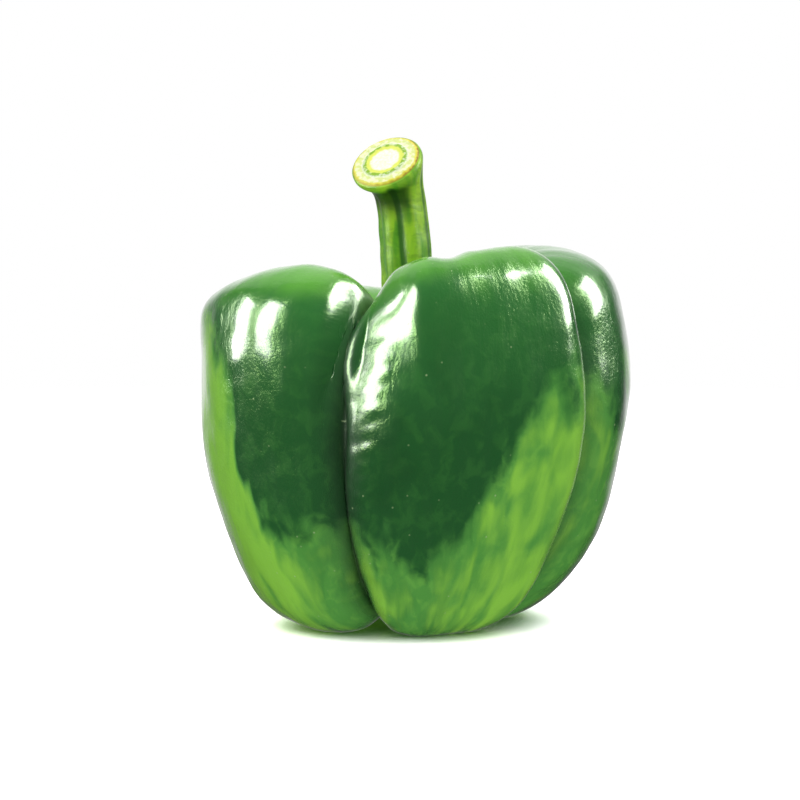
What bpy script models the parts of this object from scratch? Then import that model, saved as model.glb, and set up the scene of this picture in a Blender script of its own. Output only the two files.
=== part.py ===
"""Green bell pepper: a four-lobed fruit and the stem that it grew on.

Metres, +Z up. The pepper stands upright on the small flats under its lobes, at z = 0, with its
front lobe towards -Y. Azimuths are in degrees, 0 towards -Y and growing towards +X.
"""

from collections import namedtuple

import bmesh
import bpy
import numpy as np

# The fruit's axis stands a little off the middle of the whole pepper's box, which is the origin.
AXIS_X, AXIS_Y = -0.00246, 0.0001

# Outline of a plain lobe along its crest, and of a furrow along its bottom, from the middle of the
# well at the top, over the shoulder and the side, to the middle of the dimple underneath. Each
# point is (distance from the axis, height), and the points are evenly spaced in t from 0 to 1.
CREST = (
    (0.0, 0.0560), (0.0070, 0.0560), (0.0130, 0.0605), (0.0185, 0.0695),
    (0.0255, 0.0760), (0.0345, 0.0730), (0.0402, 0.0625), (0.0418, 0.0480),
    (0.0403, 0.0330), (0.0360, 0.0190), (0.0288, 0.0076), (0.0205, 0.0012),
    (0.0145, 0.0), (0.0090, 0.0030), (0.0040, 0.0074), (0.0, 0.0086),
)
FURROW = (
    (0.0, 0.0560), (0.0070, 0.0558), (0.0126, 0.0576), (0.0175, 0.0615),
    (0.0225, 0.0645), (0.0280, 0.0628), (0.0325, 0.0560), (0.0344, 0.0450),
    (0.0332, 0.0315), (0.0292, 0.0195), (0.0226, 0.0105), (0.0160, 0.0066),
    (0.0115, 0.0056), (0.0074, 0.0066), (0.0034, 0.0082), (0.0, 0.0086),
)
FURROW_AZIMUTHS = (-20.0, 62.0, 160.0, 250.0)  # one before each lobe below
FRONT_FURROW_TURN = 4.0  # degrees that the furrow left of the front lobe swings right at the top

# How each lobe differs from the plain one: how much further out its shoulder, belly, hip and ankle
# stand, how much higher its shoulder is (rise), how much more so on its far side than on its near
# side (lean), how far its underside is lifted outside the foot (heel), and how square its far side
# is in section (square).
Lobe = namedtuple("Lobe", "azimuth shoulder belly hip ankle rise lean heel square")
LOBES = (
    Lobe(31.0, 0.0012, 0.0008, -0.0004, 0.0004, 0.0, 0.0006, 0.0, 8.0),  # front
    Lobe(115.0, 0.0046, 0.0042, 0.0030, 0.0048, 0.0002, 0.0, 0.0022, 2.6),  # right
    Lobe(208.0, 0.0, 0.0, 0.0, 0.0015, -0.0080, 0.0030, 0.0, 2.6),  # back
    Lobe(295.0, 0.0032, -0.0005, 0.0003, 0.0039, -0.0050, 0.0060, 0.0008, 2.6),  # left
)
# Where along t each difference is largest, and over how much of t it fades.
SHOULDER, BELLY, HIP, ANKLE = (0.34, 0.07), (0.47, 0.10), (0.62, 0.10), (0.715, 0.065)
RISE, HEEL, TURN = (0.28, 0.12), (0.69, 0.055), (0.27, 0.13)
TURN_WIDTH = 16.0  # degrees either side of the furrow that turns with it

NOTCH_AZIMUTH, NOTCH_WIDTH, NOTCH_DEPTH = 17.0, 7.0, 0.0013  # small dent in the front lobe's top
NOTCH = (0.27, 0.06)
BULGE_POWER = 2.6  # how square a lobe's near side is in section
# Nearly flat faces: on which lobe, facing which azimuth, how far out as a share of the crest, how
# softly they meet the rest, where along t they begin and end, and how near the furrow they stop.
Face = namedtuple("Face", "lobe azimuth share softness start end edge")
FACES = (
    Face(0, 27.0, 0.92, 0.0012, (0.20, 0.36), (0.72, 0.90), 0.001),  # broad front
    Face(0, -35.0, 0.755, 0.0010, (0.27, 0.35), (0.385, 0.465), 0.12),  # front lobe's left shoulder
    Face(3, 43.0, 0.305, 0.0010, (0.25, 0.32), (0.40, 0.50), 0.02),  # left lobe's right shoulder
)
FACE_TURN = 80.0  # most degrees from the way it faces that a face reaches
FURROW_SOFTNESS = 0.02  # how rounded the bottom of a furrow is, and how much more so in the well
WELL_SOFTNESS, WELL_EDGE = 0.5, 0.16  # within this t, and in the dimple, beyond this one
WELL_SEARCH, WELL_STEPS = 0.20, 41  # how far along t, and how finely, the well's height is looked up
DIMPLE_SOFTNESS, DIMPLE_EDGE = 0.3, 0.85
FOOT_FLAT = 0.0003  # how much of each foot is pressed flat

# The stem: its middle line's offset from the fruit's axis, its height, its radius, and its share of
# the turn from upright to the direction that the cut end faces, at evenly spaced places upwards.
STEM = (
    (0.0008, 0.0003, 0.0620, 0.0055, 0.0), (0.0006, 0.0005, 0.0665, 0.0051, 0.0),
    (0.0004, 0.0007, 0.0715, 0.0050, 0.0), (0.0, 0.0007, 0.0770, 0.00495, 0.0),
    (-0.0004, 0.0006, 0.0820, 0.00485, 0.05), (-0.0011, 0.0001, 0.0863, 0.00495, 0.35),
    (-0.0022, -0.0010, 0.0896, 0.0059, 0.75), (-0.0032, -0.0021, 0.0917, 0.0072, 0.95),
    (-0.0039, -0.0029, 0.0930, 0.0071, 1.0),
)
CUT_FACING = (-0.33, -0.61, 0.72)  # direction that the cut end faces
CUT_CROWN = 0.0004  # how far the middle of the cut end stands out
RIBS, RIB_DEPTH, RIB_PHASE = 6, 0.00025, 20.0

CALYX_RADIUS, CALYX_POINT = 0.0122, 0.0014  # mean radius of the cap at the stem's foot, and its points
CALYX_THICKNESS, CALYX_RIM = 0.0012, 6.0  # and how many times narrower than the cap its rim is
CALYX_SPREAD = 4.0  # power by which the cap thickens into the stem's foot
CALYX_TOP, STALK, CUT_END = 0.24, 0.48, 0.84  # where these begin, of the way over the whole stem
GAP = 0.0005  # between the cap and the fruit

FRUIT_MERIDIANS, FRUIT_RINGS = 72, 36
STEM_MERIDIANS, STEM_RINGS = 48, 30
BLOCK_SIDE, BLOCK_DEPTH = 0.12, 0.02  # the cutter that presses the feet flat
SKIN_COLOUR, SKIN_ROUGHNESS = (0.045, 0.16, 0.03), 0.22
STEM_COLOUR, STEM_ROUGHNESS = (0.2, 0.33, 0.06), 0.5
COLLECTION = "bell_pepper"


def smooth_through(values, t, level_ends):
    """The cubic spline through evenly spaced values, at t from 0 to 1.

    Its second derivatives come from the usual 1-4-1 equations. Its ends are level, or straight.
    """
    values = np.asarray(values, float)
    last = len(values) - 1
    system = np.eye(last + 1)
    right = np.zeros(last + 1)
    for k in range(1, last):
        system[k, k - 1 : k + 2] = (1.0, 4.0, 1.0)
        right[k] = 6.0 * (values[k - 1] - 2.0 * values[k] + values[k + 1])
    if level_ends:
        system[0, :2] = (2.0, 1.0)
        right[0] = 6.0 * (values[1] - values[0])
        system[last, last - 1 :] = (1.0, 2.0)
        right[last] = 6.0 * (values[last - 1] - values[last])
    bend = np.linalg.solve(system, right)
    place = np.clip(t, 0.0, 1.0) * last
    k = np.minimum(place.astype(int), last - 1)
    after = place - k
    before = 1.0 - after
    curve = (before**3 - before) * bend[k] + (after**3 - after) * bend[k + 1]
    return before * values[k] + after * values[k + 1] + curve / 6.0


def bell(x, middle, width):
    """A smooth bump of height 1 at middle."""
    return np.exp(-(((x - middle) / width) ** 2))


def ease(x, start, end):
    """0 before start, 1 after end, and a smooth step between them."""
    share = np.clip((x - start) / (end - start), 0.0, 1.0)
    return share * share * (3.0 - 2.0 * share)


def turn_from(azimuth, other):
    """Signed angle from another azimuth, between -180 and 180."""
    return (azimuth - other + 180.0) % 360.0 - 180.0


def across_lobe(azimuth):
    """Which lobe an azimuth is on, and its place there: -1 and 1 at the furrows, 0 at the crest."""
    edges = np.append(FURROW_AZIMUTHS, FURROW_AZIMUTHS[0] + 360.0)
    turned = (azimuth - edges[0]) % 360.0 + edges[0]
    index = np.clip(np.searchsorted(edges, turned, side="right") - 1, 0, len(LOBES) - 1)
    crest = np.array([lobe.azimuth for lobe in LOBES])[index]
    before, after = edges[index], edges[index + 1]
    place = turned - crest
    return index, np.where(place < 0.0, place / (crest - before), place / (after - crest))


def fruit_surface(azimuth, t):
    """Points of the fruit's skin: t runs from the well's middle, over the side, to the dimple's.

    Between the furrow and crest outlines the skin follows the root of 1 + e - |place|^power, which
    bulges like a lobe and is sharp at the furrows, less so near the well and the dimple, where the
    softness e is larger. The skin is then smoothly cut back to the nearly flat faces.
    """
    crest_r, crest_z = (smooth_through(column, t, k == 1) for k, column in enumerate(zip(*CREST)))
    furrow_r, furrow_z = (smooth_through(column, t, k == 1) for k, column in enumerate(zip(*FURROW)))
    index, place = across_lobe(azimuth)
    lobe = Lobe(*(np.array(column)[index] for column in zip(*LOBES)))
    crest_r = crest_r + lobe.shoulder * bell(t, *SHOULDER) + lobe.belly * bell(t, *BELLY)
    crest_r = crest_r + lobe.hip * bell(t, *HIP) + lobe.ankle * bell(t, *ANKLE)
    crest_z = crest_z + (lobe.rise + lobe.lean * place) * bell(t, *RISE) + lobe.heel * bell(t, *HEEL)
    in_well = np.clip(1.0 - t / WELL_EDGE, 0.0, 1.0)
    in_dimple = np.clip((t - DIMPLE_EDGE) / (1.0 - DIMPLE_EDGE), 0.0, 1.0)
    softness = FURROW_SOFTNESS + WELL_SOFTNESS * in_well + DIMPLE_SOFTNESS * in_dimple
    power = np.where(place < 0.0, BULGE_POWER, lobe.square)
    bulge = np.sqrt(1.0 + softness - np.abs(place) ** power) - np.sqrt(softness)
    bulge = bulge / (np.sqrt(1.0 + softness) - np.sqrt(softness))
    radius = furrow_r + (crest_r - furrow_r) * bulge
    height = furrow_z + (crest_z - furrow_z) * bulge
    for face in FACES:
        turn = np.radians(np.clip(turn_from(azimuth, face.azimuth), -FACE_TURN, FACE_TURN))
        flat = np.maximum(face.share * crest_r / np.cos(turn), furrow_r)
        faced = 0.5 * (radius + flat - np.hypot(radius - flat, face.softness))
        on_face = (index == face.lobe) * ease(t, *face.start) * (1.0 - ease(t, *face.end))
        on_face = on_face * ease(1.0 - np.abs(place), 0.0, face.edge)
        radius = radius + on_face * (faced - radius)
    notch = bell(turn_from(azimuth, NOTCH_AZIMUTH), 0.0, NOTCH_WIDTH) * bell(t, *NOTCH)
    height = height - NOTCH_DEPTH * notch
    near_furrow = bell(turn_from(azimuth, FURROW_AZIMUTHS[0]), 0.0, TURN_WIDTH)
    angle = np.radians(azimuth + FRONT_FURROW_TURN * near_furrow * bell(t, *TURN))
    return np.stack([radius * np.sin(angle), -radius * np.cos(angle), height - FOOT_FLAT], -1)


def well_height(x, y):
    """Height of the skin in the well at the top, under the points (x, y)."""
    t = np.linspace(0.0, WELL_SEARCH, WELL_STEPS)
    azimuth = np.degrees(np.arctan2(x, -y))
    line = fruit_surface(azimuth[..., None], np.broadcast_to(t, azimuth.shape + t.shape))
    reach = np.hypot(line[..., 0], line[..., 1])
    wanted = np.hypot(x, y)[..., None]
    k = np.clip((reach < wanted).sum(-1), 1, len(t) - 1)[..., None]
    low, high = (np.take_along_axis(reach, j, -1)[..., 0] for j in (k - 1, k))
    low_z, high_z = (np.take_along_axis(line[..., 2], j, -1)[..., 0] for j in (k - 1, k))
    return low_z + (high_z - low_z) * (wanted[..., 0] - low) / (high - low)


def stem_ring(azimuth, s):
    """Middle, radius and the three axes of the stem's ring at s, from 0 at its foot to 1 at the cut."""
    columns = [smooth_through(column, s, False) for column in zip(*STEM)]
    middle = np.stack(columns[:3], -1)
    tilt = np.clip(columns[4], 0.0, 1.0)[..., None]
    up = (1.0 - tilt) * np.array([0.0, 0.0, 1.0]) + tilt * np.array(CUT_FACING)
    up = up / np.linalg.norm(up, axis=-1, keepdims=True)
    right = np.cross([0.0, 1.0, 0.0], up)
    right = right / np.linalg.norm(right, axis=-1, keepdims=True)
    rib = RIB_DEPTH * (1.0 - tilt[..., 0]) * np.cos(np.radians(RIBS * (azimuth - RIB_PHASE)))
    return middle, columns[3] + rib, right, np.cross(up, right), up


def stem_surface(azimuth, t):
    """Points of the stem: under the calyx, over its top, up the stalk, and in over the cut end."""
    angle = np.radians(azimuth)
    s = np.clip((t - STALK) / (CUT_END - STALK), 0.0, 1.0)
    middle, radius, right, back, up = stem_ring(azimuth, s)
    inward = np.clip((t - CUT_END) / (1.0 - CUT_END), 0.0, 1.0)
    radius = radius * (1.0 - inward)
    out = right * np.sin(angle)[..., None] - back * np.cos(angle)[..., None]
    crown = CUT_CROWN * inward * (2.0 - inward)
    stalk = middle + radius[..., None] * out + crown[..., None] * up

    foot_middle, foot_radius = stem_ring(azimuth, np.zeros_like(t))[:2]
    edge = CALYX_RADIUS + CALYX_POINT * np.cos(np.radians(RIBS * (azimuth - RIB_PHASE)))
    inner = np.clip((t - CALYX_TOP) / (STALK - CALYX_TOP), 0.0, 1.0)
    reach = np.where(t < CALYX_TOP, edge * t / CALYX_TOP, edge + (foot_radius - edge) * inner)
    x = foot_middle[..., 0] + reach * np.sin(angle)
    y = foot_middle[..., 1] - reach * np.cos(angle)
    seat = well_height(x, y) + GAP
    edge_top = seat + CALYX_THICKNESS * np.sqrt(np.clip(CALYX_RIM * inner, 0.0, 1.0))
    height = edge_top + (foot_middle[..., 2] - edge_top) * inner**CALYX_SPREAD
    calyx = np.stack([x, y, np.where(t < CALYX_TOP, seat, height)], -1)
    return np.where((t < STALK)[..., None], calyx, stalk)


def lobed_meridians(count):
    """Azimuths of evenly many meridians on each lobe, crowded towards the furrows."""
    per_lobe = count // len(LOBES)
    azimuths = []
    for k, lobe in enumerate(LOBES):
        before = FURROW_AZIMUTHS[k]
        after = FURROW_AZIMUTHS[(k + 1) % len(LOBES)] + (360.0 if k + 1 == len(LOBES) else 0.0)
        for j in range(per_lobe):
            place = np.sin(0.5 * np.pi * (2.0 * j / per_lobe - 1.0))
            side = lobe.azimuth - before if place < 0.0 else after - lobe.azimuth
            azimuths.append(lobe.azimuth + place * side)
    return np.array(azimuths)


def shaped_sphere(name, azimuths, rings, surface):
    """A UV sphere whose meridians and rings are moved onto a surface of azimuth and t.

    The sphere's top pole goes to t = 0 and its bottom pole to t = 1.
    """
    mesh = bpy.data.meshes.new(name)
    shape = bmesh.new()
    bmesh.ops.create_uvsphere(shape, u_segments=len(azimuths), v_segments=rings, radius=1.0)
    places = np.array([vertex.co for vertex in shape.verts])
    t = np.degrees(np.arccos(np.clip(places[:, 2], -1.0, 1.0))) / 180.0
    turn = np.degrees(np.arctan2(places[:, 1], places[:, 0])) % 360.0
    meridian = np.rint(turn * len(azimuths) / 360.0).astype(int) % len(azimuths)
    moved = surface(azimuths[meridian], t)
    for vertex, place in zip(shape.verts, moved):
        vertex.co = place
    bmesh.ops.recalc_face_normals(shape, faces=shape.faces)
    shape.to_mesh(mesh)
    shape.free()
    mesh.shade_smooth()
    return bpy.data.objects.new(name, mesh)


def plain_material(name, colour, roughness):
    """A Principled BSDF material for one piece."""
    material = bpy.data.materials.new(name)
    material.use_nodes = True
    shader = material.node_tree.nodes["Principled BSDF"]
    shader.inputs["Base Color"].default_value = (*colour, 1.0)
    shader.inputs["Roughness"].default_value = roughness
    shader.inputs["Metallic"].default_value = 0.0
    material.diffuse_color = (*colour, 1.0)
    return material


def ground_block(cutters):
    """A block below z = 0 that presses the feet flat."""
    bpy.ops.mesh.primitive_cube_add(size=1.0, location=(0.0, 0.0, -0.5 * BLOCK_DEPTH))
    block = bpy.context.object
    block.name = "ground_block"
    block.scale = (BLOCK_SIDE, BLOCK_SIDE, BLOCK_DEPTH)
    block.hide_render = True
    block.display_type = "WIRE"
    for holder in list(block.users_collection):
        holder.objects.unlink(block)
    cutters.objects.link(block)
    return block


def main():
    for old in list(bpy.data.objects):
        bpy.data.objects.remove(old, do_unlink=True)
    parts = bpy.data.collections.new(COLLECTION)
    cutters = bpy.data.collections.new("cutters")
    for collection in (parts, cutters):
        bpy.context.scene.collection.children.link(collection)

    axis = bpy.data.objects.new("fruit_axis", None)
    axis.location = (AXIS_X, AXIS_Y, 0.0)
    parts.objects.link(axis)

    fruit = shaped_sphere("fruit", lobed_meridians(FRUIT_MERIDIANS), FRUIT_RINGS, fruit_surface)
    fruit.data.materials.append(plain_material("green_skin", SKIN_COLOUR, SKIN_ROUGHNESS))
    even = np.arange(STEM_MERIDIANS) * 360.0 / STEM_MERIDIANS
    stem = shaped_sphere("stem", even, STEM_RINGS, stem_surface)
    stem.data.materials.append(plain_material("green_stem", STEM_COLOUR, STEM_ROUGHNESS))
    for piece in (fruit, stem):
        piece.parent = axis
        parts.objects.link(piece)

    flatten = fruit.modifiers.new("flat_feet", "BOOLEAN")
    flatten.operation = "DIFFERENCE"
    flatten.solver = "EXACT"
    flatten.object = ground_block(cutters)


main()
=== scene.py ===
"""The looks of a green bell pepper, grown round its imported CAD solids.

Metres, +Z up. The pepper stands on z = 0 with its front lobe towards -Y. Azimuths are in degrees
round the fruit's axis, 0 towards -Y and growing towards +X.
"""

import math
from collections import namedtuple

import bpy
import numpy as np
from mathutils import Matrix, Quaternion, Vector


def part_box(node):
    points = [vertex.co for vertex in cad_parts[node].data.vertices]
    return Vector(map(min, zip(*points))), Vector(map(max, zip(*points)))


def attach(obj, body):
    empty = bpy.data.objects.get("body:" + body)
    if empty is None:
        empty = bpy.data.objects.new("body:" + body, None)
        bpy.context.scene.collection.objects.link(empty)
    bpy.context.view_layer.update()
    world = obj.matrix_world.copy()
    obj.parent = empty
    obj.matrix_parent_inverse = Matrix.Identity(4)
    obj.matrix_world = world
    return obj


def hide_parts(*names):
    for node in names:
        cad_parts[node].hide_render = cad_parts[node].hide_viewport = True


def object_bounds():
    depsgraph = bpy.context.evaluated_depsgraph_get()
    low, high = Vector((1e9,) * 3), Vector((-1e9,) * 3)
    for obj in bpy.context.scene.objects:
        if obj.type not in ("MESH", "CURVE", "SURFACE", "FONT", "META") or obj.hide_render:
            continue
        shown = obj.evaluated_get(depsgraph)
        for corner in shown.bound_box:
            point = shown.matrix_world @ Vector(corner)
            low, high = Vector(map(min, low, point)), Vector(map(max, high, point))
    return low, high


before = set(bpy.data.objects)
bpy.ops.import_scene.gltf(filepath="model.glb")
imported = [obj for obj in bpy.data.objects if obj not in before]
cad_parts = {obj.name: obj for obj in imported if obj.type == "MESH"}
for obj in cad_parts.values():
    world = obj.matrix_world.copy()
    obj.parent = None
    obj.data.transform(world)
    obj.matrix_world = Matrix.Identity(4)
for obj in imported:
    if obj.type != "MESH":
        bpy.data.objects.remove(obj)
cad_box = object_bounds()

SEED = 11
MM = 0.001

# ---- The fruit's plain shape: the same outlines and lobes as its CAD solid. ----
CREST = (
    (0.0, 0.0560), (0.0070, 0.0560), (0.0130, 0.0605), (0.0185, 0.0695),
    (0.0255, 0.0760), (0.0345, 0.0730), (0.0402, 0.0625), (0.0418, 0.0480),
    (0.0403, 0.0330), (0.0360, 0.0190), (0.0288, 0.0076), (0.0205, 0.0012),
    (0.0145, 0.0), (0.0090, 0.0030), (0.0040, 0.0074), (0.0, 0.0086),
)
FURROW = (
    (0.0, 0.0560), (0.0070, 0.0558), (0.0126, 0.0576), (0.0175, 0.0615),
    (0.0225, 0.0645), (0.0280, 0.0628), (0.0325, 0.0560), (0.0344, 0.0450),
    (0.0332, 0.0315), (0.0292, 0.0195), (0.0226, 0.0105), (0.0160, 0.0066),
    (0.0115, 0.0056), (0.0074, 0.0066), (0.0034, 0.0082), (0.0, 0.0086),
)
FURROW_AZIMUTHS = (-20.0, 62.0, 160.0, 250.0)
FRONT_FURROW_TURN = 4.0
Lobe = namedtuple("Lobe", "azimuth shoulder belly hip ankle rise lean heel square")
LOBES = (
    Lobe(31.0, 0.0012, 0.0008, -0.0004, 0.0004, 0.0, 0.0006, 0.0, 8.0),
    Lobe(115.0, 0.0046, 0.0042, 0.0030, 0.0048, 0.0002, 0.0, 0.0022, 2.6),
    Lobe(208.0, 0.0, 0.0, 0.0, 0.0015, -0.0080, 0.0030, 0.0, 2.6),
    Lobe(295.0, 0.0032, -0.0005, 0.0003, 0.0039, -0.0050, 0.0060, 0.0008, 2.6),
)
SHOULDER, BELLY, HIP, ANKLE = (0.34, 0.07), (0.47, 0.10), (0.62, 0.10), (0.715, 0.065)
RISE, HEEL, TURN = (0.28, 0.12), (0.69, 0.055), (0.27, 0.13)
TURN_WIDTH = 16.0
NOTCH_AZIMUTH, NOTCH_WIDTH, NOTCH_DEPTH, NOTCH = 17.0, 7.0, 0.0013, (0.27, 0.06)
BULGE_POWER = 2.6
FACE_TURN = 80.0
Face = namedtuple("Face", "lobe azimuth share softness start end edge")
FACES = (
    Face(0, 27.0, 0.92, 0.0012, (0.20, 0.36), (0.72, 0.90), 0.001),
    Face(0, -35.0, 0.755, 0.0010, (0.27, 0.35), (0.385, 0.465), 0.12),
    Face(3, 43.0, 0.305, 0.0010, (0.25, 0.32), (0.40, 0.50), 0.02),
)
FURROW_SOFTNESS = 0.02
WELL_SOFTNESS, WELL_EDGE = 0.5, 0.16
WELL_SEARCH, WELL_STEPS = 0.20, 41
DIMPLE_SOFTNESS, DIMPLE_EDGE = 0.3, 0.85
FOOT_FLAT = 0.0003

# ---- The stem's plain shape, as its CAD solid. ----
STEM = (
    (0.0008, 0.0003, 0.0620, 0.0055, 0.0), (0.0006, 0.0005, 0.0665, 0.0051, 0.0),
    (0.0004, 0.0007, 0.0715, 0.0050, 0.0), (0.0, 0.0007, 0.0770, 0.00495, 0.0),
    (-0.0004, 0.0006, 0.0820, 0.00485, 0.05), (-0.0011, 0.0001, 0.0863, 0.00495, 0.35),
    (-0.0022, -0.0010, 0.0896, 0.0059, 0.75), (-0.0032, -0.0021, 0.0917, 0.0072, 0.95),
    (-0.0039, -0.0029, 0.0930, 0.0071, 1.0),
)
CUT_FACING, CUT_CROWN = (-0.33, -0.61, 0.72), 0.0004
RIBS, RIB_DEPTH, RIB_PHASE = 6, 0.00025, 20.0
CALYX_RADIUS, CALYX_POINT = 0.0122, 0.0014
CALYX_THICKNESS, CALYX_RIM, CALYX_SPREAD = 0.0012, 6.0, 4.0
CALYX_TOP, STALK, CUT_END = 0.24, 0.48, 0.84
GAP = 0.0005

# ---- How finely the pieces are made. ----
FRUIT_MERIDIANS, FRUIT_RINGS = 384, 258
OUTLINE_SAMPLES = 4001
FURROW_CROWDING = 0.75  # 0 spaces the meridians evenly, 1 crowds them fully towards the furrows
STEM_MERIDIANS = 288
STEM_RINGS = ((0.0, CALYX_TOP, 26), (CALYX_TOP, STALK, 70), (STALK, CUT_END, 110), (CUT_END, 1.0, 90))

# ---- Relief of the skin, as (lowest and highest wavelength round, the same along, height, waves). ----
SWELL = ((24.0, 38.0), (26.0, 44.0), 0.26, 10)
RIPPLE = ((6.5, 10.0), (18.0, 34.0), 0.050, 16)
STREAK = ((3.0, 5.0), (10.0, 22.0), 0.014, 20)
PEBBLE = ((5.0, 8.0), (5.0, 9.0), 0.014, 18)
PUCKER = ((4.0, 9.0), (3.0, 10.0), 0.055, 24)
GRAIN_RADIUS = 0.040
SIDE_START, SIDE_END = (0.14, 0.26), (0.86, 0.96)  # the run over which relief grows, and fades again
PUCKER_TURN, PUCKER_WIDTH = 9.0, 8.0  # degrees beside the front furrow
PUCKER_START, PUCKER_END = (0.36, 0.44), (0.66, 0.74)
FURROW_SHADE_POWER = 12
SCAR_EDGE, SCAR_DEPTH = (0.0022, 0.0034), 0.0004
# Swells and hollows of their own: azimuth, degrees wide, height, how tall, and rise, in millimetres.
SINGLE_RELIEF = (
    (92.0, 10.0, 40.0, 12.0, -0.6), (-38.0, 9.0, 32.0, 10.0, -0.5), (-23.0, 5.0, 56.0, 7.0, 1.4),
)

# Height in millimetres up to which the skin is pale, by azimuth, and how softly it turns dark there.
# The pale lower skin is partly its own lighter green, partly a painted reflection of the floor.
PALE_SOFTNESS = 10.0
PALE_EDGE = (
    (-72.0, 66.0), (-59.0, 60.0), (-54.0, 52.0), (-50.5, 44.0), (-47.0, 24.5), (-38.0, 22.5),
    (-20.0, 24.0), (-8.0, 20.0), (8.0, 18.0), (15.0, 20.5), (22.0, 27.0), (30.0, 37.0),
    (37.0, 43.0), (44.0, 51.0), (58.0, 58.0),
    (66.0, 52.0), (76.0, 46.0), (88.0, 56.0), (115.0, 62.0),
    (140.0, 30.0), (160.0, 24.0), (190.0, 30.0), (210.0, 22.0), (235.0, 30.0), (250.0, 35.0),
    (270.0, 50.0),
)

# Share of yellow-green in the pale skin, by azimuth; partly own colour, partly painted reflection.
LIGHT_SHARE = (
    (-90.0, 0.80), (-60.0, 0.95), (-46.0, 0.90), (-38.0, 0.50), (-28.0, 0.18), (-20.0, 0.35),
    (-13.0, 0.95), (-6.0, 0.40), (5.0, 0.18), (15.0, 0.35), (25.0, 0.60), (45.0, 0.66), (58.0, 0.60),
    (72.0, 0.35), (90.0, 0.25), (115.0, 0.45), (150.0, 0.60), (185.0, 0.75), (220.0, 0.50),
    (245.0, 0.75),
)
# How much painted light from above lightens the shoulders of each lobe, by azimuth.
CROWN_SHARE = ((-60.0, 0.85), (0.0, 1.0), (50.0, 0.90), (72.0, 0.30), (120.0, 0.40), (210.0, 0.85))
# Blotches of their own: azimuth, degrees wide, height and how tall in millimetres, and how much the
# pale skin recedes there.
BLOTCHES = (
    (-52.0, 2.8, 35.0, 6.0, 1.9), (-50.0, 2.5, 44.0, 4.0, 1.0), (80.0, 5.0, 41.0, 6.0, 0.9),
    (86.0, 5.0, 25.0, 5.0, 2.2), (74.0, 4.0, 13.0, 5.0, 1.8), (38.0, 6.0, 22.0, 4.0, 0.8),
    (50.0, 4.0, 44.0, 5.0, 1.0), (140.0, 8.0, 18.0, 6.0, 1.2), (200.0, 10.0, 12.0, 5.0, 1.0),
)

# ---- Relief of the stem. ----
STALK_GRAIN_RADIUS, CUT_GRAIN_RADIUS = 0.0055, 0.0073
FIBRES = ((1.2, 2.4), (14.0, 30.0), 0.018, 16)
LUMPS = ((4.0, 8.0), (4.0, 9.0), 0.03, 12)
CALYX_WAVES, CALYX_FIBRES = ((3.0, 6.0), (3.0, 6.0), 0.07, 12), 0.6
CUT_WAVES = ((0.9, 1.8), (50.0, 60.0), 0.05, 20)
# Grooves up the stalk: azimuth at its foot, degrees turned on the way up, degrees wide, share of depth.
GROOVES = (
    (-4.0, -10.0, 9.0, 1.0), (70.0, 0.0, 9.0, 0.7), (150.0, 0.0, 10.0, 0.8), (225.0, 0.0, 9.0, 0.8),
)
GROOVE_DEPTH = 0.00030
# Rings on the cut: share of its radius, width as such a share, and height.
CUT_RINGS = ((0.60, 0.07, 0.00016), (0.72, 0.05, -0.00008), (0.93, 0.06, 0.00010))
CUT_ROUNDING, CUT_ROUNDING_WIDTH = 0.00035, 0.009

# ---- Colours, as linear red, green and blue. ----
DARK_GREEN, DARK_GREEN_MOTTLE = (0.017, 0.108, 0.026), (0.024, 0.138, 0.029)
DARK_GREEN_SHADE = (0.013, 0.085, 0.022)
# The upper and crown greens are painted light from above, on the upper skin and the shoulders.
UPPER_PAINTED_LIGHT, CROWN_PAINTED_LIGHT = (0.038, 0.215, 0.042), (0.135, 0.450, 0.046)
# The pale greens and the yellow-green are partly own colour, partly a painted reflection of the floor.
PALE_GREEN, PALE_GREEN_MOTTLE = (0.090, 0.335, 0.055), (0.125, 0.400, 0.060)
PALE_GREEN_SHADE = (0.066, 0.270, 0.048)
# The furrow green is painted shade, darkening the skin towards the furrows.
YELLOW_GREEN, FURROW_PAINTED_SHADE = (0.255, 0.600, 0.060), (0.008, 0.040, 0.012)
SKIN_SPECK, SCAR_BROWN, WAX_TINT = (0.45, 0.60, 0.30), (0.17, 0.11, 0.045), (0.62, 1.0, 0.30)
STALK_GREEN, STALK_BAND, STALK_MOTTLE = (0.13, 0.40, 0.024), (0.36, 0.64, 0.030), (0.08, 0.28, 0.022)
# The groove green is painted shade in the stalk's grooves.
STALK_FIBRE, GROOVE_PAINTED_SHADE, HEAD_SHADE = (0.50, 0.70, 0.07), (0.030, 0.135, 0.022), (0.010, 0.042, 0.008)
CALYX_GREEN, CALYX_MOTTLE, STEM_SPECK = (0.055, 0.20, 0.025), (0.12, 0.30, 0.035), (0.55, 0.62, 0.30)
PITH, PITH_PALE, PITH_EDGE = (0.80, 0.86, 0.62), (0.95, 0.97, 0.86), (0.72, 0.78, 0.13)
VESSELS, FLESH, FLESH_DARK = (0.26, 0.47, 0.030), (0.82, 0.86, 0.52), (0.66, 0.74, 0.24)
CUT_YELLOW, CUT_BROWN, STALK_TINT = (0.74, 0.68, 0.07), (0.36, 0.17, 0.02), (0.85, 1.0, 0.55)
FLOOR_WHITE, FLOOR_SEEN = (0.85, 0.85, 0.85), (2.85, 2.62, 2.88)
# The floor's shade and crevice colours are a painted contact shadow under the pepper.
FLOOR_SHADE, FLOOR_PAINTED_SHADOW = (0.90, 0.86, 0.93), (0.11, 0.17, 0.05)

# ---- Floor, camera and lights. ----
FLOOR_RADIUS, FLOOR_SIDES, FLOOR_FADE = 2.5, 96, (0.22, 0.6)
LIGHTS_AIM, LIGHT_DISTANCE = (0.0, 0.0, 0.045), 0.9
AIM_FROM_MIDDLE = (-0.00346, 0.0001, -0.0038)
CAMERA_DISTANCE, CAMERA_ELEVATION, LENS, SENSOR = 0.520, 5.0, 116.3, 36.0


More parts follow.
